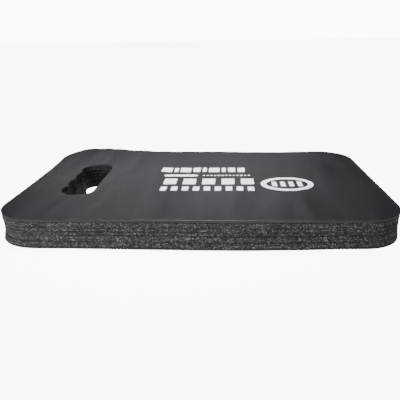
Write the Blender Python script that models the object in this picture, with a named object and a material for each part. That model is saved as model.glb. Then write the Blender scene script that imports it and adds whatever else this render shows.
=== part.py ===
# Kneeling pad for garden and workshop use.
#
# A mat of closed-cell foam: five foam plies welded between two smooth skins, then die-cut in one
# stroke to a rounded rectangle with a grip slot near one short side. The slot has a straight wall
# for the palm and, facing it, a wall scalloped for the fingers. The die squeezes the foam as it
# cuts, so every cut wall draws in between its two rims, and each weld line is a fine groove.
#
# Frame: the origin is the middle of the underside, +X runs along the length, away from the grip
# slot, +Y runs across the width and +Z is up. All lengths are in metres and angles in degrees.

import math

import bmesh
import bpy
from mathutils import Vector

# Outline of the mat
PAD_LENGTH = 0.480
PAD_WIDTH = 0.320
CORNER_RADIUS = 0.052

# Grip slot
SLOT_MARGIN = 0.052             # foam between the end of the mat and the deepest finger hollow
SLOT_WIDTH = 0.044              # from the palm wall to the deepest finger hollow
FINGER_COUNT = 4
FINGER_PITCH = 0.033
FINGER_DEPTH = 0.0036           # from the bottom of a hollow to the crest of a ridge
FINGER_RIDGE_RADIUS = 0.004
SLOT_END_ROOM = 0.006           # slot left over past the outermost fingers, at each end
SLOT_END_FLAT = 0.0035          # straight stretch across each end, between its two corners

# Sheets as welded, from the floor up
BOTTOM_SKIN = 0.0018
FOAM_PLY_1 = 0.0068
FOAM_PLY_2 = 0.0069
FOAM_PLY_3 = 0.0043
FOAM_PLY_4 = 0.0043
FOAM_PLY_5 = 0.0068
TOP_SKIN = 0.0033
WELD_GAP = 0.0003

# Cut walls
WALL_DRAW = 0.0012              # how far a wall draws in half way between its rims
WELD_GROOVE_DEPTH = 0.0006
WELD_GROOVE_HEIGHT = 0.0010     # height over which a sheet's edge rounds into the groove
TOP_RIM_RADIUS = 0.0008
BOTTOM_RIM_RADIUS = 0.0014

# Fineness of the arcs
CORNER_STEPS = 12
SLOT_CORNER_STEPS = 8
FINGER_STEPS = 4
RIDGE_STEPS = 4
RIM_STEPS = 3
LEVEL_SPACING = 0.0002          # least height between two levels of a wall
MERGE_DISTANCE = 0.00001

SHEETS = (
    ("bottom_skin", BOTTOM_SKIN),
    ("foam_ply_1", FOAM_PLY_1),
    ("foam_ply_2", FOAM_PLY_2),
    ("foam_ply_3", FOAM_PLY_3),
    ("foam_ply_4", FOAM_PLY_4),
    ("foam_ply_5", FOAM_PLY_5),
    ("top_skin", TOP_SKIN),
)
PAD_HEIGHT = sum(thickness for name, thickness in SHEETS) + WELD_GAP * (len(SHEETS) - 1)

# Linear base colour and roughness: the skins are smooth and the foam's cut edge is open-celled
FINISHES = {
    "bottom_skin": ((0.036, 0.036, 0.040), 0.55),
    "foam_ply_1": ((0.064, 0.060, 0.055), 0.95),
    "foam_ply_2": ((0.070, 0.066, 0.061), 0.95),
    "foam_ply_3": ((0.066, 0.062, 0.057), 0.95),
    "foam_ply_4": ((0.072, 0.068, 0.062), 0.95),
    "foam_ply_5": ((0.068, 0.064, 0.059), 0.95),
    "top_skin": ((0.070, 0.070, 0.078), 0.48),
}


def arc(centre, radius, start, end, steps):
    # Points along an arc, from the start angle to the end angle.
    points = []
    for step in range(steps + 1):
        angle = math.radians(start + (end - start) * step / steps)
        points.append(centre + radius * Vector((math.cos(angle), math.sin(angle))))
    return points


def closed_outline(arcs):
    # One loop of points from arcs in order, without the points that neighbouring arcs share.
    loop = []
    for points in arcs:
        for point in points:
            if not loop or (point - loop[-1]).length > MERGE_DISTANCE:
                loop.append(point)
    if (loop[0] - loop[-1]).length <= MERGE_DISTANCE:
        loop.pop()
    return loop


def pad_outline():
    # Rounded rectangle, one arc for each corner.
    x = PAD_LENGTH / 2 - CORNER_RADIUS
    y = PAD_WIDTH / 2 - CORNER_RADIUS
    arcs = []
    for centre, start in (((x, y), 0), ((-x, y), 90), ((-x, -y), 180), ((x, -y), 270)):
        arcs.append(arc(Vector(centre), CORNER_RADIUS, start, start + 90, CORNER_STEPS))
    return closed_outline(arcs)


def slot_outline():
    # The finger hollows and the ridges between them are arcs that meet in a common tangent, so
    # the two radii add up to a fixed sum. The outermost hollows run on into the slot's ends.
    finger_x = SLOT_MARGIN - PAD_LENGTH / 2
    palm_x = finger_x + SLOT_WIDTH
    half_length = FINGER_COUNT * FINGER_PITCH / 2 + SLOT_END_ROOM
    end_radius = FINGER_PITCH / 2 + SLOT_END_ROOM
    palm_radius = SLOT_WIDTH - end_radius - SLOT_END_FLAT
    radius_sum = (FINGER_PITCH ** 2 / 4 + FINGER_DEPTH ** 2) / (2 * FINGER_DEPTH)
    hollow_radius = radius_sum - FINGER_RIDGE_RADIUS
    swing = math.degrees(math.asin(FINGER_PITCH / 2 / radius_sum))

    palm_centre = Vector((palm_x - palm_radius, half_length - palm_radius))
    end_centre = Vector((finger_x + end_radius, half_length - end_radius))
    arcs = [
        arc(palm_centre, palm_radius, 0, 90, SLOT_CORNER_STEPS),
        arc(end_centre, end_radius, 90, 180, SLOT_CORNER_STEPS),
    ]
    for finger in range(FINGER_COUNT - 1):
        hollow_y = ((FINGER_COUNT - 1) / 2 - finger) * FINGER_PITCH
        hollow = Vector((finger_x + hollow_radius, hollow_y))
        ridge = Vector((finger_x + FINGER_DEPTH - FINGER_RIDGE_RADIUS, hollow_y - FINGER_PITCH / 2))
        next_hollow = hollow - Vector((0, FINGER_PITCH))
        arcs.append(arc(hollow, hollow_radius, 180, 180 + swing, FINGER_STEPS))
        arcs.append(arc(ridge, FINGER_RIDGE_RADIUS, swing, -swing, RIDGE_STEPS))
        arcs.append(arc(next_hollow, hollow_radius, 180 - swing, 180, FINGER_STEPS))
    mirror_y = Vector((1, -1))
    arcs.append(arc(end_centre * mirror_y, end_radius, 180, 270, SLOT_CORNER_STEPS))
    arcs.append(arc(palm_centre * mirror_y, palm_radius, 270, 360, SLOT_CORNER_STEPS))
    return closed_outline(arcs)


def rim_inset(distance, radius):
    # Inset of a rounded rim at a distance from the face that it rounds into.
    depth = min(max(radius - distance, 0.0), radius)
    return radius - math.sqrt(radius ** 2 - depth ** 2)


def draw_inset(height):
    # The squeezed foam springs back into a hollow wall that is deepest between the two rims.
    span = PAD_HEIGHT - TOP_RIM_RADIUS - BOTTOM_RIM_RADIUS
    share = min(max((height - BOTTOM_RIM_RADIUS) / span, 0.0), 1.0)
    return WALL_DRAW * (1 - (2 * share - 1) ** 2)


def groove_inset(distance):
    # A sheet's edge rounds in towards the weld line that lies at a distance from it.
    return WELD_GROOVE_DEPTH * max(0.0, 1 - distance / WELD_GROOVE_HEIGHT)


def welded_below(low):
    return low > WELD_GAP / 2


def welded_above(high):
    return high < PAD_HEIGHT - WELD_GAP / 2


def wall_inset(height, low, high):
    # How far a cut wall lies inside the die's outline, on the sheet between two heights.
    inset = draw_inset(height)
    inset += rim_inset(height, BOTTOM_RIM_RADIUS)
    inset += rim_inset(PAD_HEIGHT - height, TOP_RIM_RADIUS)
    if welded_below(low):
        inset += groove_inset(height - low)
    if welded_above(high):
        inset += groove_inset(high - height)
    return inset


def wall_levels(low, high):
    # Heights at which a sheet's wall changes direction, between its two faces.
    levels = []
    if welded_below(low):
        levels.append(low + WELD_GROOVE_HEIGHT)
    if welded_above(high):
        levels.append(high - WELD_GROOVE_HEIGHT)
    for step in range(1, RIM_STEPS + 1):
        rise = 1 - math.cos(math.radians(90 * step / RIM_STEPS))
        levels.append(BOTTOM_RIM_RADIUS * rise)
        levels.append(PAD_HEIGHT - TOP_RIM_RADIUS * rise)
    kept = [low]
    for level in sorted(levels):
        if level - kept[-1] > LEVEL_SPACING and high - level > LEVEL_SPACING:
            kept.append(level)
    return kept[1:]


def flat_sheet(name, thickness, collection):
    # Die-cut sheet with upright walls, as a mesh centred on its own middle plane.
    curve = bpy.data.curves.new(name, "CURVE")
    curve.dimensions = "2D"
    curve.fill_mode = "BOTH"
    curve.extrude = thickness / 2
    for outline in (pad_outline(), slot_outline()):
        spline = curve.splines.new("POLY")
        spline.points.add(len(outline) - 1)
        for point, place in zip(spline.points, outline):
            point.co = (place.x, place.y, 0, 1)
        spline.use_cyclic_u = True
    blank = bpy.data.objects.new(name + "_outline", curve)
    collection.objects.link(blank)
    evaluated = blank.evaluated_get(bpy.context.evaluated_depsgraph_get())
    mesh = bpy.data.meshes.new_from_object(evaluated)
    mesh.name = name
    bpy.data.objects.remove(blank)
    bpy.data.curves.remove(curve)
    return mesh


def shape_walls(mesh, low, high):
    # Welds the caps on, cuts the walls into levels and draws each level in along its outline.
    middle = (low + high) / 2
    model = bmesh.new()
    model.from_mesh(mesh)
    bmesh.ops.remove_doubles(model, verts=model.verts, dist=MERGE_DISTANCE)
    for level in wall_levels(low, high):
        bmesh.ops.bisect_plane(
            model,
            geom=model.verts[:] + model.edges[:] + model.faces[:],
            dist=MERGE_DISTANCE,
            plane_co=(0, 0, level - middle),
            plane_no=(0, 0, 1),
        )
    bmesh.ops.recalc_face_normals(model, faces=model.faces)
    moves = []
    for vert in model.verts:
        outward = Vector()
        for face in vert.link_faces:
            if abs(face.normal.z) < 0.5:
                outward += face.normal
        moves.append((vert, outward.normalized() * wall_inset(vert.co.z + middle, low, high)))
    for vert, move in moves:
        vert.co -= move
    model.to_mesh(mesh)
    model.free()
    mesh.shade_smooth()
    mesh.set_sharp_from_angle(angle=math.radians(35))


def finish_material(name):
    colour, roughness = FINISHES[name]
    material = bpy.data.materials.new(name)
    material.use_nodes = True
    shader = material.node_tree.nodes["Principled BSDF"]
    shader.inputs["Base Color"].default_value = (*colour, 1)
    shader.inputs["Roughness"].default_value = roughness
    shader.inputs["Metallic"].default_value = 0.0
    return material


def build_pad():
    for item in list(bpy.data.objects):
        bpy.data.objects.remove(item)
    collection = bpy.data.collections.new("kneeling_pad")
    bpy.context.scene.collection.children.link(collection)
    base = bpy.data.objects.new("pad_base", None)
    collection.objects.link(base)
    low = 0.0
    for name, thickness in SHEETS:
        high = low + thickness
        mesh = flat_sheet(name, thickness, collection)
        shape_walls(mesh, low, high)
        mesh.materials.append(finish_material(name))
        sheet = bpy.data.objects.new(name, mesh)
        sheet.location.z = (low + high) / 2
        sheet.parent = base
        collection.objects.link(sheet)
        low = high + WELD_GAP


build_pad()
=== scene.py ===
import math

import bmesh
import bpy
import numpy as np
from mathutils import Matrix, Vector, kdtree, noise
from mathutils.geometry import delaunay_2d_cdt


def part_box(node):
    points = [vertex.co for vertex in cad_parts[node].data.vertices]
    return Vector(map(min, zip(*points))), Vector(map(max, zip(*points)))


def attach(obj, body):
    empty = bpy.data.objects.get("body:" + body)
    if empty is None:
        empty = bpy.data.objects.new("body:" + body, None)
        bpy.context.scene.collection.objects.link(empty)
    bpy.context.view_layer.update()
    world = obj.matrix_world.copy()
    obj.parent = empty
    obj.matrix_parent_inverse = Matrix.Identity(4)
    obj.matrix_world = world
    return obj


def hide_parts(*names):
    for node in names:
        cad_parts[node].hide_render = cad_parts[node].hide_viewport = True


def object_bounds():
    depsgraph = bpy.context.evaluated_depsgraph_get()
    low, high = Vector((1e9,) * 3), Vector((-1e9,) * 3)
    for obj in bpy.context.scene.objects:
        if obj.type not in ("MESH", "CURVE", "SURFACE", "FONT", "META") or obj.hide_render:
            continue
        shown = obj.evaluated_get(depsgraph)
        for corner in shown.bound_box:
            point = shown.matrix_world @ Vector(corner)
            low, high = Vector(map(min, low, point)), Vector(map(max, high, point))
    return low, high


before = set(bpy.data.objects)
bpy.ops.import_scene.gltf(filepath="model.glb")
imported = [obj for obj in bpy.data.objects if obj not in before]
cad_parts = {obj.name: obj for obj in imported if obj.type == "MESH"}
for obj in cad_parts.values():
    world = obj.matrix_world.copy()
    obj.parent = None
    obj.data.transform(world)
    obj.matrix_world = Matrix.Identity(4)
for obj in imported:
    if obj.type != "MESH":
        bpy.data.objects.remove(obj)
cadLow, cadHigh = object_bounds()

# Kneeling mat of laminated foam. Lengths are in metres and angles in degrees, but for the lens.
print("kneeling mat: frame loaded")


# where the camera stands
cameraSetup = {
    "place": (0.0353, -0.6336, 0.2288),
    "turn": 3.44,      # to the left of straight ahead
    "tilt": 19.61,     # below the horizon
    "roll": -1.09,
    "lens": 41.13,     # in millimetres, as is the sensor
    "sensor": 36,
    "clip": (0.01, 200),
}


def addCamera(s):
    data = bpy.data.cameras.new("viewCamera")
    data.lens = s["lens"]
    data.sensor_width = s["sensor"]
    data.clip_start, data.clip_end = s["clip"]
    camera = bpy.data.objects.new("viewCamera", data)
    bpy.context.scene.collection.objects.link(camera)
    turn = Matrix.Rotation(math.radians(s["turn"]), 4, "Z")
    tilt = Matrix.Rotation(math.radians(90 - s["tilt"]), 4, "X")
    roll = Matrix.Rotation(math.radians(s["roll"]), 4, "Z")
    camera.matrix_world = Matrix.Translation(s["place"]) @ turn @ tilt @ roll
    bpy.context.scene.camera = camera


addCamera(cameraSetup)
bpy.ops.object.select_all(action="DESELECT")


# the die's outline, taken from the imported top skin
def cadLoops(node):
    # Closed loops round the widest level of a node, the longest first.
    copy = bmesh.new()
    copy.from_mesh(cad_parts[node].data)
    bmesh.ops.remove_doubles(copy, verts=copy.verts, dist=0.00001)
    widest = max(copy.verts, key=lambda v: round(v.co.x, 6)).co.z
    rim = [e for e in copy.edges if all(abs(v.co.z - widest) < 0.00002 for v in e.verts)]
    nextTo = {}
    for edge in rim:
        a, b = edge.verts
        nextTo.setdefault(a, []).append(b)
        nextTo.setdefault(b, []).append(a)
    loops = []
    left = set(nextTo)
    while left:
        loop = [min(left, key=lambda v: (v.co.x, v.co.y))]
        left.remove(loop[0])
        while True:
            ahead = [v for v in nextTo[loop[-1]] if v in left]
            if not ahead:
                break
            loop.append(ahead[0])
            left.remove(ahead[0])
        loops.append(np.array([(v.co.x, v.co.y) for v in loop]))
    copy.free()
    return sorted(loops, key=lambda p: -np.ptp(p[:, 0]))


def loopLength(points):
    return float(np.linalg.norm(np.roll(points, -1, 0) - points, axis=1).sum())


def evenLoop(points, step, rounding):
    # The same loop with evenly spaced points, its facets rounded over a given length.
    closed = np.vstack([points, points[:1]])
    run = np.r_[0, np.cumsum(np.linalg.norm(np.diff(closed, axis=0), axis=1))]
    count = int(round(run[-1] / step))
    places = np.arange(count) * run[-1] / count
    loop = np.column_stack([np.interp(places, run, closed[:, axis]) for axis in (0, 1)])
    for _ in range(int(2 * (rounding / step) ** 2)):
        loop = (np.roll(loop, 1, 0) + 2 * loop + np.roll(loop, -1, 0)) / 4
    return loop


def outwardNormals(loop, isHole):
    along = np.roll(loop, -1, 0) - np.roll(loop, 1, 0)
    normal = np.column_stack([along[:, 1], -along[:, 0]])
    normal /= np.linalg.norm(normal, axis=1)[:, None]
    nextPoint = np.roll(loop, -1, 0)
    area = (loop[:, 0] * nextPoint[:, 1] - nextPoint[:, 0] * loop[:, 1]).sum() / 2
    if (area < 0) != isHole:
        normal = -normal
    return normal


outerLoop, slotLoop = cadLoops("top_skin")
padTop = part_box("top_skin")[1].z
print("outline: mat %.3f m round, slot %.3f m round" % (loopLength(outerLoop), loopLength(slotLoop)))


outline = {
    "outerRounding": 0.0030,      # the length over which the outline's facets are rounded
    "slotRounding": 0.0012,
}


class Rim:
    # Evenly spaced points on both cut edges, with the way out of the foam at each.
    def __init__(self, step):
        outer = evenLoop(outerLoop, step, outline["outerRounding"])
        slot = evenLoop(slotLoop, step, outline["slotRounding"])
        self.loops = [outer, slot]
        self.points = np.vstack([outer, slot])
        self.normals = np.vstack([outwardNormals(outer, False), outwardNormals(slot, True)])
        self.isSlot = np.r_[np.zeros(len(outer)), np.ones(len(slot))]
        self.tree = kdtree.KDTree(len(self.points))
        for index, (x, y) in enumerate(self.points):
            self.tree.insert((x, y, 0), index)
        self.tree.balance()

    def nearest(self, x, y):
        place, index, distance = self.tree.find((x, y, 0))
        return index, distance

    def isFoam(self, x, y):
        index, distance = self.nearest(x, y)
        return np.dot(self.points[index] - (x, y), self.normals[index]) > -0.00001


# the seven sheets, from the floor up
sheetPlan = {
    "lowerSkin": {"node": "bottom_skin", "slot": "skin", "tone": 1.0},
    "foamSheet1": {"node": "foam_ply_1", "slot": "foam", "tone": 0.98},
    "foamSheet2": {"node": "foam_ply_2", "slot": "foam", "tone": 1.03},
    "foamSheet3": {"node": "foam_ply_3", "slot": "foam", "tone": 0.93},
    "foamSheet4": {"node": "foam_ply_4", "slot": "foam", "tone": 1.05},
    "foamSheet5": {"node": "foam_ply_5", "slot": "foam", "tone": 1.0},
    "upperSkin": {"node": "top_skin", "slot": "skin", "tone": 1.0},
}


def fade(value, start, over):
    # From 0 at the start to 1 after a length, which is negative where the fade runs backwards.
    share = min(max((value - start) / over, 0.0), 1.0)
    return share * share * (3 - 2 * share)


def bell(distance, reach):
    return math.exp(-(distance / reach) ** 2)


def spot(x, y, place, reach):
    # 1 at a place, dying away round it.
    return math.exp(-((x - place[0]) ** 2 + (y - place[1]) ** 2) / reach ** 2)


def waves(x, y, step, seed):
    return noise.noise(Vector((x / step[0], y / step[1], seed)))


# how the whole mat lies; a fade is where it starts and the length it takes
lie = {
    "curlHeight": 0.0086,         # how far the far edge has curled up behind the slot
    "curlSpan": (-0.215, -0.040), # from its full height to none, along the length
    "curlPower": 2.4,             # how closely it keeps to the far edge
    "farSwell": (-0.015, 0.090, 0.0016),   # middle, reach and height of the far edge's low wave
    "sag": 0.0006,                # how far the near edge settles, and where
    "sagMiddle": 0.045,
    "sagReach": 0.15,
    "sagFade": (-0.10, -0.05),
    "stretch": (0.0016, 0.0020),  # how far the two ends have spread, slot end first
    "stretchFade": (0.13, 0.09),
    "tuckRight": (0.178, 0.042, 0.0016),   # where, how widely and how far the near foot is pressed up
    "tuckLeft": 0.0007,           # how far it has spread down beside that
    "tuckLeftFade": (0.11, -0.06),
    "tuckFade": (-0.08, -0.06),
    "farCorner": (0.205, 0.140),  # a corner that stands up a little
    "farCornerLift": 0.0009,
    "farCornerReach": 0.042,
    "ripple": 0.00075,            # waves in the skin, and their steps along and across the mat
    "rippleStep": (0.020, 0.16),
    "fineRipple": 0.35,           # smaller waves, as a share of those
    "fineStep": (0.011, 0.09),
    "rippleLeast": 0.45,          # strength at the right-hand end, and how much more by the slot
    "rippleMore": 0.9,
    "rippleFade": (0.03, -0.2),
    "waveDepth": 0.0006,          # how far below the face the waves reach
    "creases": (
        # where along the length, between which y, how wide and how high
        (-0.158, (0.030, 0.170), 0.0065, 0.00130),
        (-0.112, (0.010, 0.170), 0.0075, 0.00100),
        (-0.205, (-0.090, 0.020), 0.0060, 0.00080),
        (-0.172, (-0.150, -0.060), 0.0055, -0.00075),
        (-0.118, (-0.150, -0.020), 0.0090, 0.00080),
        (0.052, (-0.150, -0.060), 0.0100, -0.00060),
        (0.128, (0.020, 0.170), 0.0100, -0.00060),
    ),
    "creaseFade": 0.035,          # how gently a crease ends, and how far it strays sideways
    "creaseStray": 0.004,
    "swell": 0.0005,
    "swellStep": (0.075, 0.2),
    "rimDrop": 0.0002,            # the die pulls the skin down at its edge
    "rimReach": 0.0020,
}


def lift(x, y):
    # Height that the resting mat is lifted by at a place.
    full, none = lie["curlSpan"]
    far = max(0.0, y / cadHigh.y) ** lie["curlPower"]
    middle, reach, height = lie["farSwell"]
    curl = lie["curlHeight"] * fade(x, none, full - none) * far
    curl += height * bell(x - middle, reach) * far
    near = fade(y, *lie["sagFade"]) * bell(x - lie["sagMiddle"], lie["sagReach"])
    corner = spot(x, y, lie["farCorner"], lie["farCornerReach"])
    return curl + lie["farCornerLift"] * corner - lie["sag"] * near


def tuck(x, y, z):
    # How far the near edge's foot has been squeezed up, or has spread down.
    middle, reach, height = lie["tuckRight"]
    side = height * bell(x - middle, reach) - lie["tuckLeft"] * fade(x, *lie["tuckLeftFade"])
    return side * fade(y, *lie["tuckFade"]) * max(0.0, 1 - z / padTop)


def stretch(x):
    left, right = lie["stretch"]
    return -left * fade(-x, *lie["stretchFade"]) + right * fade(x, *lie["stretchFade"])


def skinWave(x, y):
    # Ripples left in the upper skin by the roller, strongest beside the slot.
    strength = lie["rippleLeast"] + lie["rippleMore"] * fade(x, *lie["rippleFade"])
    fine = waves(x, y, lie["rippleStep"], 3.1)
    finer = waves(x, y, lie["fineStep"], 8.4)
    broad = waves(x, y, lie["swellStep"], 5.7)
    rise = strength * lie["ripple"] * (fine + lie["fineRipple"] * finer) + lie["swell"] * broad
    for middle, (start, end), width, height in lie["creases"]:
        along = fade(y, start, lie["creaseFade"]) * fade(y, end, -lie["creaseFade"])
        if along > 0:
            stray = lie["creaseStray"] * noise.noise(Vector((middle * 50, y / 0.04, 2.2)))
            rise += height * along * bell(x - middle - stray, width)
    return rise


# the cut walls
wall = {
    "draw": 0.0011,           # how far a cut wall draws in half way up
    "slotDraw": 0.0010,
    "topRim": 0.0005,
    "bottomRim": 0.0006,
    "cornerRim": 0.0010,      # the lower rim at the corners, where the mat is handled most
    "cornerFade": (-0.075, 0.06),
    "slotRim": 0.0003,
    "flare": 0.0022,          # how far the near edge's foot is pressed out where it sags
    "flareFade": (-0.12, -0.03),
    "flareHeight": 0.02,
    "weldDepth": 0.00065,
    "weldHeight": 0.0011,
    "weldMark": 0.0009,       # how far the dark line reaches on either side
    "weldShow": (0.15, 0.80, 1.4),   # how strongly a weld line shows: least, middle and most
    "weldWave": 0.00045,      # how far a weld line strays up and down
    "weldGrow": 0.00007,      # how far a sheet's edge squeezes into the weld
    "wander": 0.00030,        # how far the cut strays along the edge
    "bulge": 0.0010,          # how far the near corner beside the slot is pushed out under its rim
    "bulgeCorner": (-0.235, -0.112),
    "bulgeReach": 0.055,
    "bulgeFade": (0.015, 0.016),     # up the wall
    "footOut": 0.0016,        # how far the same corner has spread at the floor
    "footHeight": 0.012,
    "lip": 0.0038,            # size of the foam left at the slot's foot, and where it is
    "lipPlace": (-0.184, 0.022),
    "lipReach": 0.030,
    "lipHeight": 0.02,
    "edgeFade": 0.006,        # how far in from a face's rim the wear reaches
    "slotShadeEaseFade": (0.005, 0.05),      # where along the slot the painted shade on its wall eases off towards the far end, and by how much
    "slotShadeEase": 0.45,
}


def rimInset(distance, radius):
    depth = min(max(radius - distance, 0.0), radius)
    return radius - math.sqrt(radius ** 2 - depth ** 2)


def cornerShare(x, y):
    # 1 round the mat's corners and 0 along its straight edges.
    return fade(abs(x) - cadHigh.x, *wall["cornerFade"]) * fade(abs(y) - cadHigh.y, *wall["cornerFade"])


def weldStrength(x, y, boundary):
    # A weld line shows strongly in some stretches and hardly in others.
    slow = noise.noise(Vector((x * 21, y * 21, boundary * 7.7)))
    quick = noise.noise(Vector((x * 130, y * 130, boundary * 3.3)))
    least, middle, most = wall["weldShow"]
    return min(max(middle + 0.8 * slow + 0.5 * quick, least), most)


def weldWave(x, y, boundary):
    if boundary in (0, len(sheetPlan)):
        return 0.0
    slow = noise.noise(Vector((x * 15, y * 15, boundary * 5.1)))
    quick = noise.noise(Vector((x * 75, y * 75, boundary * 9.2)))
    return wall["weldWave"] * (slow + 0.6 * quick)


def wallInset(x, y, z, inSlot):
    # How far a cut wall lies inside the die's outline, leaving out the weld lines.
    if inSlot:
        draw, topRim, bottomRim = wall["slotDraw"], wall["slotRim"], wall["slotRim"] * 2
    else:
        draw, topRim = wall["draw"], wall["topRim"]
        bottomRim = wall["bottomRim"] + (wall["cornerRim"] - wall["bottomRim"]) * cornerShare(x, y)
    span = padTop - topRim - bottomRim
    share = min(max((z - bottomRim) / span, 0.0), 1.0)
    inset = draw * (1 - (2 * share - 1) ** 2)
    inset += rimInset(z, bottomRim) + rimInset(padTop - z, topRim)
    near = spot(x, y, wall["bulgeCorner"], wall["bulgeReach"])
    inset -= wall["bulge"] * near * fade(z, *wall["bulgeFade"])
    inset -= wall["footOut"] * near * (1 - fade(z, 0, wall["footHeight"]))
    if inSlot:
        lip = spot(x, y, wall["lipPlace"], wall["lipReach"])
        inset -= wall["lip"] * lip * (1 - fade(z, 0, wall["lipHeight"]))
    foot = bell(x - lie["sagMiddle"], lie["sagReach"]) * fade(y, *wall["flareFade"])
    return inset - wall["flare"] * foot * (1 - fade(z, 0, wall["flareHeight"]))


def wander(x, y, z):
    # Slow and quick wandering of the cut along the edge.
    slow = noise.noise(Vector((x * 22, y * 22, z * 30)))
    quick = noise.noise(Vector((x * 90 + 5, y * 90, z * 200)))
    return wall["wander"] * (slow + 0.5 * quick)


# how finely the foam sheets and the skins are made, and their grain
foam = {
    "step": 0.00052,          # spacing of the points on a cut wall
    "cellWide": 0.00150,
    "cellTall": 0.00105,
    "cellWall": 0.03,         # share of a cell taken by its wall, and by the slope inside that
    "cellSlope": 0.38,
    "shallowest": 0.12,       # the shallowest cell, as a share of the deepest
    "tear": 0.00050,          # how deep a torn cell goes
    "grain": 0.00012,
}
skin = {
    "step": 0.0009,
    "rows": ((0.0009, 1), (0.0024, 2), (0.0048, 3)),   # how far in, and every how many rim points
    "grid": 0.0032,
    "gridStart": 0.0062,      # how far in from the rim the grid starts
    "grain": 0.00006,
}


def flatSheet(name, rim, gridStep):
    # Flat face inside the cut edges, with a grid of points where it will be seen.
    points = [Vector(p) for p in rim.points]
    edges = []
    start = 0
    for loop in rim.loops:
        edges += [(start + k, start + (k + 1) % len(loop)) for k in range(len(loop))]
        start += len(loop)
    if gridStep:
        for inset, every in skin["rows"]:
            for k in range(0, len(rim.points), every):
                points.append(Vector(rim.points[k] - rim.normals[k] * inset))
        xs = np.arange(cadLow.x + gridStep, cadHigh.x, gridStep)
        ys = np.arange(cadLow.y + gridStep, cadHigh.y, gridStep)
        for column, x in enumerate(xs):
            for y in ys:
                y += (column % 2) * gridStep / 2
                if rim.isFoam(x, y) and rim.nearest(x, y)[1] > skin["gridStart"]:
                    points.append(Vector((x, y)))
    made = delaunay_2d_cdt(points, edges, [], 1, 0.0000001)
    verts, faces = made[0], made[2]
    kept = []
    for face in faces:
        middle = sum((verts[v] for v in face), Vector((0, 0))) / len(face)
        if rim.isFoam(middle.x, middle.y):
            kept.append(tuple(face))
    mesh = bpy.data.meshes.new(name)
    mesh.from_pydata([(v.x, v.y, 0) for v in verts], [], kept)
    sheet = bpy.data.objects.new(name, mesh)
    bpy.context.scene.collection.objects.link(sheet)
    return sheet


def setActive(obj):
    bpy.ops.object.select_all(action="DESELECT")
    obj.select_set(True)
    bpy.context.view_layer.objects.active = obj


def extrudeLevels(sheet, levels):
    # Raises the flat face level by level, which leaves a closed sheet with rows up its walls.
    setActive(sheet)
    for vert in sheet.data.vertices:
        vert.co.z = levels[0]
    bpy.ops.object.mode_set(mode="EDIT")
    bpy.ops.mesh.select_mode(type="FACE")
    bpy.ops.mesh.select_all(action="SELECT")
    for low, high in zip(levels, levels[1:]):
        bpy.ops.mesh.extrude_region_move(TRANSFORM_OT_translate={"value": (0, 0, high - low)})
    bpy.ops.mesh.select_all(action="SELECT")
    bpy.ops.mesh.normals_make_consistent(inside=False)
    bpy.ops.object.mode_set(mode="OBJECT")


def tornCell(x, y, z, seed):
    # How far a cell is open where the die cut through it: 0 on a cell wall, up to 1 inside.
    place = Vector((x / foam["cellWide"], y / foam["cellWide"], z / foam["cellTall"] + seed))
    gaps, centres = noise.voronoi(place)
    inside = fade(gaps[1] - gaps[0], foam["cellWall"], foam["cellSlope"])
    return inside * (foam["shallowest"] + (1 - foam["shallowest"]) * noise.cell(centres[0] * 5.3))


# what each point of a sheet tells the materials
wallNotes = (
    "pit",        # how far a torn cell is open, which also sets painted shade in the foam
    "cut",        # 1 on a cut wall and 0 on a face
    "weld",       # 1 in a weld line
    "edge",       # 1 at a face's rim, fading inwards
    "rise",       # from 0 at the sheet's underside to 1 at its top
    "slotShade",    # 1 in the grip slot, for painted shade on its wall, less at its far end
)


def shapeSheet(sheet, rim, low, high, order, isFoam):
    # Moves the flat sheet's points to where they lie, and notes what the materials need to know.
    mesh = sheet.data
    count = len(mesh.vertices)
    notes = {name: np.zeros(count, np.float32) for name in wallNotes}
    isTop = order == len(sheetPlan) - 1
    seed = 11.3 * order
    grain = foam["grain"] if isFoam else skin["grain"]
    for vert in mesh.vertices:
        k = vert.index
        x, y, z = vert.co
        index, distance = rim.nearest(x, y)
        share = (z - low) / (high - low)
        notes["rise"][k] = share
        if distance < 0.0001:
            px, py = rim.points[index]
            nx, ny = rim.normals[index]
            inset = wallInset(px, py, z, rim.isSlot[index]) + wander(px, py, z)
            for gap, boundary in ((z - low, order), (high - z, order + 1)):
                if boundary in (0, len(sheetPlan)):
                    continue
                strength = weldStrength(px, py, boundary)
                inset += wall["weldDepth"] * strength * max(0.0, 1 - gap / wall["weldHeight"]) ** 1.5
                notes["weld"][k] += strength * max(0.0, 1 - gap / wall["weldMark"])
            if isFoam:
                notes["pit"][k] = tornCell(px, py, z, seed)
                inset += foam["tear"] * notes["pit"][k]
            inset += grain * noise.noise(Vector((px * 1300, py * 1300, z * 1300 + seed)))
            vert.co.x, vert.co.y = px - nx * inset, py - ny * inset
            notes["cut"][k] = 0 if isTop and high - z < wall["topRim"] * 0.3 else 1
            # painted shade in the grip slot, eased off towards its far end
            notes["slotShade"][k] = rim.isSlot[index] * (1 - wall["slotShadeEase"] * fade(py, *wall["slotShadeEaseFade"]))
        else:
            notes["edge"][k] = max(0.0, 1 - distance / wall["edgeFade"])
        lower = weldWave(x, y, order) - (wall["weldGrow"] if order else 0)
        upper = weldWave(x, y, order + 1) + (0 if isTop else wall["weldGrow"])
        up = lift(x, y) + tuck(x, y, z) + lower + (upper - lower) * share
        if isTop and z > high - lie["waveDepth"]:
            up += skinWave(x, y)
            up -= lie["rimDrop"] * math.exp(-distance / lie["rimReach"])
        vert.co.x += stretch(vert.co.x)
        vert.co.z = z + up
    for name, values in notes.items():
        mesh.attributes.new(name, "FLOAT", "POINT").data.foreach_set("value", values)
    mesh.update()


# short ways to build a material's nodes
def newMaterial(name):
    material = bpy.data.materials.new(name)
    material.use_nodes = True
    tree = material.node_tree
    return material, tree, tree.nodes["Principled BSDF"]


def node(tree, kind, **values):
    made = tree.nodes.new(kind)
    for key, value in values.items():
        if key in made.inputs:
            made.inputs[key].default_value = value
        else:
            setattr(made, key, value)
    return made


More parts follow.
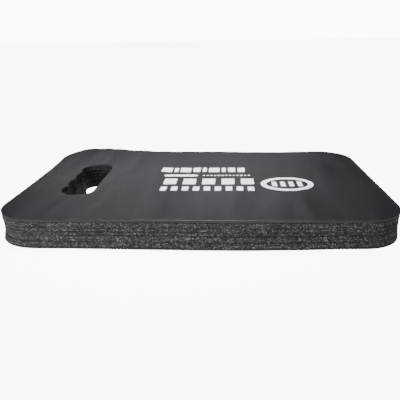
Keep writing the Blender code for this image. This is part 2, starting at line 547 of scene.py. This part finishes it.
def placed(tree, scale, location=(0, 0, 0)):
    # Object coordinates stretched to a pattern's scale.
    where = node(tree, "ShaderNodeTexCoord")
    mapping = node(tree, "ShaderNodeMapping")
    mapping.inputs["Scale"].default_value = scale
    mapping.inputs["Location"].default_value = location
    tree.links.new(where.outputs["Object"], mapping.inputs["Vector"])
    return mapping.outputs["Vector"]


def noiseAt(tree, vector, detail=3, rough=0.5, scale=1.0):
    made = node(tree, "ShaderNodeTexNoise", Scale=scale, Detail=detail, Roughness=rough)
    tree.links.new(vector, made.inputs["Vector"])
    return made.outputs["Fac"]


def ramp(tree, source, stops):
    made = node(tree, "ShaderNodeValToRGB")
    elements = made.color_ramp.elements
    while len(elements) < len(stops):
        elements.new(0.5)
    for element, (place, colour) in zip(elements, stops):
        element.position = place
        element.color = (*colour, 1) if len(colour) == 3 else colour
    tree.links.new(source, made.inputs["Fac"])
    return made.outputs["Color"]


def grey(value, tint=(1, 1, 1)):
    return tuple(value * t for t in tint)


def mix(tree, factor, a, b, blend="MIX"):
    made = node(tree, "ShaderNodeMix", data_type="RGBA", blend_type=blend)
    for socket, value in ((made.inputs[0], factor), (made.inputs[6], a), (made.inputs[7], b)):
        if hasattr(value, "is_output"):
            tree.links.new(value, socket)
        elif isinstance(value, tuple):
            socket.default_value = (*value, 1)
        else:
            socket.default_value = value
    return made.outputs[2]


def calc(tree, operation, a, b=0.0, clamp=False):
    made = node(tree, "ShaderNodeMath", operation=operation, use_clamp=clamp)
    for socket, value in ((made.inputs[0], a), (made.inputs[1], b)):
        if hasattr(value, "is_output"):
            tree.links.new(value, socket)
        else:
            socket.default_value = value
    return made.outputs[0]


def attribute(tree, name):
    return node(tree, "ShaderNodeAttribute", attribute_name=name).outputs["Fac"]


def bump(tree, height, strength, distance):
    made = node(tree, "ShaderNodeBump", Strength=strength, Distance=distance)
    tree.links.new(height, made.inputs["Height"])
    return made.outputs["Normal"]


skinLook = {
    # the skin's tone from dark to light; its streaky part is partly painted sheen
    "dark": 0.0135,
    "light": 0.0240,
    "tint": (0.93, 0.95, 1.13),
    "roughness": (0.34, 0.46),
    "streakScale": (34, 5, 1),
    "cloudScale": (7, 5, 7),
    "mottleScale": (260, 200, 260),
    "poreScale": (1500, 1500, 1500),
    "dustScale": (95, 95, 95),
    "dust": 0.10,                 # how strongly dust shows, and how pale it is
    "dustShade": 0.16,
    "rubbed": 0.06,               # how much paler the face's rim is
    "rubbedShade": 0.045,
    "grainScale": (1100, 1100, 2600),
    # shades of the cut wall from the sheet's underside up; in the upper skin the darkest step at the top
    # is painted shade along the rounded rim
    "upperCutAndRimShade": ((0.0, 0.011), (0.16, 0.020), (0.38, 0.018), (0.72, 0.014), (0.95, 0.006)),
    "lowerCut": ((0.0, 0.016), (0.35, 0.022), (0.80, 0.020), (1.0, 0.010)),
    "slotShade": 0.8,               # how far painted shade darkens the slot's wall, and to what
    "slotShadeColour": 0.004,
}


def skinMaterial(name, look, isUpper):
    material, tree, shader = newMaterial(name)
    link = tree.links.new
    streaks = noiseAt(tree, placed(tree, look["streakScale"]), 3, 0.55)
    clouds = noiseAt(tree, placed(tree, look["cloudScale"], (3, 1, 0)), 2)
    pores = node(tree, "ShaderNodeTexVoronoi", Scale=1.0)
    link(placed(tree, look["poreScale"]), pores.inputs["Vector"])
    mottle = noiseAt(tree, placed(tree, look["mottleScale"]), 4, 0.6)
    # base colour from streaks and clouds: the streak bands are partly painted sheen along the skin's
    # ripples, the clouds random tone
    blend = calc(tree, "ADD", calc(tree, "MULTIPLY", streaks, 0.6), calc(tree, "MULTIPLY", clouds, 0.4))
    tint = look["tint"]
    stops = ((0.34, grey(look["dark"], tint)), (0.66, grey(look["light"], tint)))
    base = ramp(tree, blend, stops)
    base = mix(tree, 0.35, base, ramp(tree, mottle, ((0.3, grey(0.6)), (0.7, grey(1.0)))), "MULTIPLY")
    dust = node(tree, "ShaderNodeTexVoronoi", Scale=1.0)
    link(placed(tree, look["dustScale"]), dust.inputs["Vector"])
    speck = ramp(tree, dust.outputs["Distance"], ((0.0, grey(1.0)), (0.055, grey(0.0))))
    base = mix(tree, calc(tree, "MULTIPLY", speck, look["dust"]), base, grey(look["dustShade"]))
    rubbed = calc(tree, "MULTIPLY", attribute(tree, "edge"), look["rubbed"])
    base = mix(tree, rubbed, base, grey(look["rubbedShade"], tint))
    grain = noiseAt(tree, placed(tree, look["grainScale"]), 3, 0.7)
    rise = attribute(tree, "rise")
    layers = look["upperCutAndRimShade" if isUpper else "lowerCut"]
    # the cut wall's tones, with painted shade at the top of the upper skin's wall under its rim
    cutColour = ramp(tree, rise, [(place, grey(shade)) for place, shade in layers])
    pale = grey(2.6, (1.0, 0.98, 0.95))
    flecks = ramp(tree, grain, ((0.32, grey(0.55)), (0.52, grey(1.0)), (0.72, pale)))
    cutFace = mix(tree, 1.0, cutColour, flecks, "MULTIPLY")
    # painted shade on the slot's cut wall
    slotShade = calc(tree, "MULTIPLY", attribute(tree, "slotShade"), look["slotShade"])
    cutFace = mix(tree, slotShade, cutFace, grey(look["slotShadeColour"]))
    base = mix(tree, attribute(tree, "cut"), base, cutFace)
    link(base, shader.inputs["Base Color"])
    glossy, dull = look["roughness"]
    rough = ramp(tree, streaks, ((0.3, grey(glossy)), (0.7, grey(dull))))
    rough = mix(tree, calc(tree, "POWER", attribute(tree, "edge"), 6.0), rough, grey(0.75))
    link(mix(tree, attribute(tree, "cut"), rough, grey(0.9)), shader.inputs["Roughness"])
    shader.inputs["Specular IOR Level"].default_value = 0.30
    height = calc(tree, "ADD", calc(tree, "MULTIPLY", pores.outputs["Distance"], 0.5), mottle)
    link(bump(tree, height, 0.22, 0.0002), shader.inputs["Normal"])
    return material


foamLook = {
    # painted shade and light of the cells, from torn-open cells in shade to the thin walls that catch the
    # light
    "hole": 0.0038,
    "dark": 0.010,
    "body": 0.022,
    "pale": 0.056,
    "bright": 0.115,
    "tint": (1.03, 0.94, 0.87),
    "paleTint": (1.02, 0.96, 0.91),
    "brightTint": (1.0, 0.98, 0.96),
    "coolTint": (0.74, 0.80, 0.78),
    "warmTint": (1.36, 1.20, 1.06),
    "cellScale": (940, 940, 1080),
    "fleckScale": (1900, 1900, 2200),
    "patchScale": (55, 55, 200),
    "weldShade": 0.006,
    "slotShade": 0.90,              # how far painted shade darkens the slot's wall
}


def foamMaterial(name, look, tone, order):
    # Torn closed cells: each has its own depth of shade, and their thin walls catch the light.
    material, tree, shader = newMaterial(name)
    link = tree.links.new
    tint = look["tint"]
    seed = 3.7 * order
    cells = node(tree, "ShaderNodeTexVoronoi", Scale=1.0, Randomness=1.0)
    link(placed(tree, look["cellScale"], (seed, 0, 0)), cells.inputs["Vector"])
    split = node(tree, "ShaderNodeSeparateColor")
    link(cells.outputs["Color"], split.inputs["Color"])
    small = node(tree, "ShaderNodeTexVoronoi", Scale=1.0, feature="F1")
    link(placed(tree, look["fleckScale"], (0, seed, 0)), small.inputs["Vector"])
    smallSplit = node(tree, "ShaderNodeSeparateColor")
    link(small.outputs["Color"], smallSplit.inputs["Color"])
    patches = noiseAt(tree, placed(tree, look["patchScale"], (0, 0, seed)), 3, 0.6)
    body = ramp(tree, split.outputs["Red"], (
        (0.00, grey(look["hole"] * tone, tint)),
        (0.28, grey(look["dark"] * tone, tint)),
        (0.62, grey(look["body"] * tone, tint)),
        (0.86, grey(look["pale"] * tone, look["paleTint"])),
        (1.00, grey(look["bright"] * tone, look["brightTint"])),
    ))
    fleck = ramp(tree, smallSplit.outputs["Red"], ((0.0, grey(0.55)), (0.7, grey(1.0)), (1.0, grey(1.9))))
    body = mix(tree, 1.0, body, fleck, "MULTIPLY")
    hue = ramp(tree, patches, ((0.35, look["coolTint"]), (0.55, grey(1.0)), (0.75, look["warmTint"])))
    body = mix(tree, 0.8, body, hue, "MULTIPLY")
    # the colour of painted shade, darkening the torn-open cells
    hole = grey(look["hole"], tint)
    body = mix(tree, calc(tree, "MULTIPLY", attribute(tree, "pit"), 0.7), body, hole)
    weld = calc(tree, "MULTIPLY", attribute(tree, "weld"), 0.85, True)
    body = mix(tree, weld, body, grey(look["weldShade"]))
    # painted shade on the slot's wall, in the colour of the torn cells' shade
    body = mix(tree, calc(tree, "MULTIPLY", attribute(tree, "slotShade"), look["slotShade"]), body, hole)
    link(body, shader.inputs["Base Color"])
    shader.inputs["Roughness"].default_value = 0.88
    shader.inputs["Specular IOR Level"].default_value = 0.25
    fineHeight = calc(tree, "MULTIPLY", small.outputs["Distance"], 0.4)
    height = calc(tree, "ADD", cells.outputs["Distance"], fineHeight)
    link(bump(tree, height, 0.7, 0.0005), shader.inputs["Normal"])
    return material


def skinLevels(low, high):
    # Even rows, with closer ones where the rims round over.
    rows = list(np.linspace(low, high, 6))
    if high > padTop - 0.0005:
        rows += [high - wall["topRim"] * (1 - math.cos(math.radians(a))) for a in (25, 45, 65)]
    if low < 0.0005:
        rows += [wall["bottomRim"] * (1 - math.cos(math.radians(a))) for a in (18, 36, 54, 72)]
    rows = sorted(rows)
    kept = [rows[0]]
    for row in rows[1:]:
        if row - kept[-1] > 0.00008:
            kept.append(min(row, high))
    kept[-1] = high
    return kept


def buildSheets():
    foamRim = Rim(foam["step"])
    skinRim = Rim(skin["step"])
    for order, (name, plan) in enumerate(sheetPlan.items()):
        low, high = (corner.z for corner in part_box(plan["node"]))
        isFoam = plan["slot"] == "foam"
        rim = foamRim if isFoam else skinRim
        sheet = flatSheet(name, rim, None if isFoam else skin["grid"])
        if isFoam:
            levels = list(np.linspace(low, high, max(3, int(round((high - low) / foam["step"])) + 1)))
        else:
            levels = skinLevels(low, high)
        extrudeLevels(sheet, levels)
        shapeSheet(sheet, rim, low, high, order, isFoam)
        setActive(sheet)
        bpy.ops.object.shade_smooth_by_angle(angle=math.radians(60))
        if isFoam:
            material = foamMaterial(name + "Foam", foamLook, plan["tone"], order)
        else:
            material = skinMaterial(name + "Skin", skinLook, order > 0)
        sheet.data.materials.append(material)
        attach(sheet, "root")
        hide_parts(plan["node"])
        made = (name, len(sheet.data.vertices), len(sheet.data.polygons))
        print("sheet %s: %d points, %d faces" % made)


buildSheets()


# the printed marks
marks = {
    "film": 0.00012,              # thickness above the skin, and below it
    "sunk": 0.00006,
    "slice": 0.0025,              # the film is cut this finely to follow the skin's waves
    "sliceX": (-0.070, 0.160),
    "sliceY": (-0.055, 0.060),
    "round": 0.0010,
    "rowSpan": (-0.056, 0.071),
    # lower y, upper y, slant, then how many and how wide
    "wideRow": (-0.0280, -0.0020, 0.0070, 5, 0.0180),
    "narrowRow": (-0.0560, -0.0390, 0.0045, 9, 0.0085),
    # lower y, upper y, gap, then the widths from left to right
    "blockRow": (0.0335, 0.0560, 0.0035, (0.016, 0.006, 0.016, 0.011, 0.006, 0.016, 0.006, 0.011, 0.011)),
    "blockShift": 0.007,          # how far to the left of the other rows it starts
    "pill": (-0.0310, 0.0145, 0.0500, 0.0095),    # centre x, centre y, length, width
    "dots": (0.0030, 0.0690, 0.0145, 13, 0.0018), # first x, last x, y, how many, radius
    "emblem": {"centre": (0.1195, -0.0265), "outer": (0.0360, 0.0300), "inner": (0.0285, 0.0220)},
    "emblemBars": (4, 0.0065, 0.0050, 0.0210),    # how many, width, gap, height
}


def selectVerts(obj, test):
    bpy.ops.object.mode_set(mode="OBJECT")
    for vert in obj.data.vertices:
        vert.select = test(vert.co)
    bpy.ops.object.mode_set(mode="EDIT")


def flatBar(x, y, width, height, slant=0.0, corner=0.0):
    # Upright, leaning or rounded bar, lying flat.
    bpy.ops.mesh.primitive_plane_add(size=1, location=(x, y, 0))
    bar = bpy.context.object
    bar.scale = (width, height, 1)
    bpy.ops.object.transform_apply(location=True, scale=True)
    bpy.ops.object.mode_set(mode="EDIT")
    bpy.ops.mesh.select_mode(type="VERT")
    if slant:
        selectVerts(bar, lambda place: place.y > y)
        bpy.ops.transform.translate(value=(slant, 0, 0))
    bpy.ops.mesh.select_all(action="SELECT")
    bpy.ops.mesh.bevel(offset=corner or min(marks["round"], width * 0.3), segments=4, affect="VERTICES")
    bpy.ops.object.mode_set(mode="OBJECT")
    return bar


def flatDisc(x, y, radii, hole=None):
    # Disc or oval. A hole is cut at 0.8 of its size and then brought to its own.
    bpy.ops.mesh.primitive_circle_add(vertices=64, radius=1, location=(x, y, 0), fill_type="NGON")
    disc = bpy.context.object
    disc.scale = (*radii, 1)
    if hole:
        bpy.ops.object.mode_set(mode="EDIT")
        bpy.ops.mesh.select_mode(type="FACE")
        bpy.ops.mesh.select_all(action="SELECT")
        bpy.ops.mesh.inset(thickness=0.2, depth=0)
        bpy.ops.mesh.delete(type="FACE")
        selectVerts(disc, lambda place: place.length < 0.9)
        bpy.ops.transform.resize(value=(hole[0] / radii[0] / 0.8, hole[1] / radii[1] / 0.8, 1))
        bpy.ops.object.mode_set(mode="OBJECT")
    bpy.ops.object.transform_apply(location=True, scale=True)
    return disc


def markRows():
    bits = []
    first, last = marks["rowSpan"]
    for row in ("wideRow", "narrowRow"):
        low, high, slant, count, width = marks[row]
        for k in range(count):
            x = first + (width - slant) / 2 + (last - first - width) * k / (count - 1)
            bits.append(flatBar(x, (low + high) / 2, width, high - low, slant))
    low, high, gap, widths = marks["blockRow"]
    x = first - marks["blockShift"]
    for width in widths:
        bits.append(flatBar(x + width / 2, (low + high) / 2, width, high - low))
        x += width + gap
    x, y, length, width = marks["pill"]
    bits.append(flatBar(x, y, length, width, corner=width * 0.48))
    first, last, y, count, radius = marks["dots"]
    for k in range(count):
        bits.append(flatDisc(first + (last - first) * k / (count - 1), y, (radius, radius)))
    return bits


def markEmblem():
    emblem = marks["emblem"]
    x, y = emblem["centre"]
    bits = [flatDisc(x, y, emblem["outer"], emblem["inner"])]
    count, width, gap, height = marks["emblemBars"]
    for k in range(count):
        bits.append(flatBar(x + (k - (count - 1) / 2) * (width + gap), y, width, height))
    return bits


def addPrint():
    bpy.ops.object.select_all(action="DESELECT")
    bits = markRows() + markEmblem()
    bpy.ops.object.select_all(action="DESELECT")
    for bit in bits:
        bit.select_set(True)
    bpy.context.view_layer.objects.active = bits[0]
    bpy.ops.object.join()
    ink = bpy.context.object
    ink.name = "printedMarks"
    bpy.ops.object.mode_set(mode="EDIT")
    for x in np.arange(*marks["sliceX"], marks["slice"]):
        bpy.ops.mesh.select_all(action="SELECT")
        bpy.ops.mesh.bisect(plane_co=(x, 0, 0), plane_no=(1, 0, 0))
    for y in np.arange(*marks["sliceY"], marks["slice"] * 3):
        bpy.ops.mesh.select_all(action="SELECT")
        bpy.ops.mesh.bisect(plane_co=(0, y, 0), plane_no=(0, 1, 0))
    bpy.ops.mesh.select_all(action="SELECT")
    bpy.ops.mesh.normals_make_consistent(inside=False)
    bpy.ops.object.mode_set(mode="OBJECT")
    for face in ink.data.polygons:
        if face.normal.z < 0:
            face.flip()
    solid = ink.modifiers.new("film", "SOLIDIFY")
    solid.thickness = marks["film"] + marks["sunk"]
    solid.offset = 1
    bpy.ops.object.modifier_apply(modifier="film")
    for vert in ink.data.vertices:
        x, y, z = vert.co
        vert.co.z = padTop + z - marks["sunk"] + lift(x, y) + skinWave(x, y)
    ink.data.materials.clear()
    ink.data.materials.append(inkMaterial("printInk", inkLook))
    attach(ink, "root")
    print("printed marks: %d faces" % len(ink.data.polygons))


inkLook = {
    "worn": (0.80, 0.82, 0.85),
    "fresh": (0.93, 0.95, 0.97),
    "missing": (0.20, 0.21, 0.23),    # where the skin shows through in specks
    "speckleScale": (900, 900, 900),
    "wearScale": (120, 60, 1),
}


def inkMaterial(name, look):
    material, tree, shader = newMaterial(name)
    link = tree.links.new
    speckle = noiseAt(tree, placed(tree, look["speckleScale"]), 3, 0.7)
    wear = noiseAt(tree, placed(tree, look["wearScale"]), 4, 0.65)
    base = ramp(tree, wear, ((0.25, look["worn"]), (0.5, look["fresh"])))
    gone = ramp(tree, speckle, ((0.24, grey(1.0)), (0.30, grey(0.0))))
    base = mix(tree, gone, base, look["missing"])
    link(base, shader.inputs["Base Color"])
    shader.inputs["Roughness"].default_value = 0.55
    link(bump(tree, speckle, 0.15, 0.0001), shader.inputs["Normal"])
    return material


addPrint()


# floor and light
studio = {
    "floorHeight": -0.0016,
    "floorWhite": 0.90,
    "floorGlow": 8.5,
    "airWhite": 10.5,
    "air": 0.07,            # light from above the floor, all round
    "bounce": 1.5,          # light thrown back up by the floor
    "bounceBehind": 4.0,
    "bounceRight": 0.4,
    "lamps": {
        # place, aim, size, power, spread
        "keySoftbox": ((-0.02, 0.05, 0.75), (-0.01, 0.03, 0.0), (0.34, 0.30), 2.4, 60),
        "frontSoftbox": ((-0.30, -1.05, 0.14), (-0.10, -0.16, 0.02), (0.60, 0.18), 4.8, 80),
        "rearSoftbox": ((-0.35, 2.20, 0.50), (0.0, 0.0, 0.0), (1.90, 0.35), 1.6, 180),
        "rearStrip": ((-0.85, 2.20, 0.50), (0.0, 0.0, 0.0), (0.25, 0.35), 0.12, 180),
    },
}


def addLamp(name, place, aim, size, power, spread):
    data = bpy.data.lights.new(name, "AREA")
    data.shape = "RECTANGLE"
    data.size, data.size_y = size
    data.energy = power
    data.spread = math.radians(spread)
    lamp = bpy.data.objects.new(name, data)
    lamp.location = place
    lamp.rotation_euler = (Vector(aim) - Vector(place)).to_track_quat("-Z", "Y").to_euler()
    lamp.visible_camera = False
    bpy.context.scene.collection.objects.link(lamp)


def addStudio(s):
    bpy.ops.object.select_all(action="DESELECT")
    bpy.ops.mesh.primitive_plane_add(size=60, location=(0, 0, s["floorHeight"]))
    floor = bpy.context.object
    floor.name = "studioFloor"
    material, tree, shader = newMaterial("paleFloor")
    shader.inputs["Base Color"].default_value = (s["floorWhite"],) * 3 + (1,)
    shader.inputs["Roughness"].default_value = 0.9
    shader.inputs["Specular IOR Level"].default_value = 0.1
    shader.inputs["Emission Color"].default_value = (1, 1, 1, 1)
    shader.inputs["Emission Strength"].default_value = s["floorGlow"]
    floor.data.materials.append(material)
    floor.visible_diffuse = False
    floor.visible_glossy = False

    world = bpy.data.worlds.new("studioAir")
    bpy.context.scene.world = world
    world.use_nodes = True
    air = world.node_tree
    where = node(air, "ShaderNodeTexCoord")
    split = node(air, "ShaderNodeSeparateXYZ")
    air.links.new(where.outputs["Generated"], split.inputs[0])
    above = calc(air, "GREATER_THAN", split.outputs["Z"], 0.0)
    right = calc(air, "MULTIPLY", split.outputs["X"], 2.5, True)
    behind = calc(air, "MULTIPLY", split.outputs["Y"], 3.0, True)
    below = mix(air, right, grey(s["bounce"]), grey(s["bounceRight"]))
    below = mix(air, behind, below, grey(s["bounceBehind"]))
    light = mix(air, above, below, grey(s["air"], (0.94, 0.98, 1.10)))
    path = node(air, "ShaderNodeLightPath")
    strength = mix(air, path.outputs["Is Camera Ray"], light, grey(s["airWhite"]))
    air.links.new(strength, air.nodes["Background"].inputs["Color"])
    for name, lamp in s["lamps"].items():
        addLamp(name, *lamp)


addStudio(studio)
print("floor and lights ready")
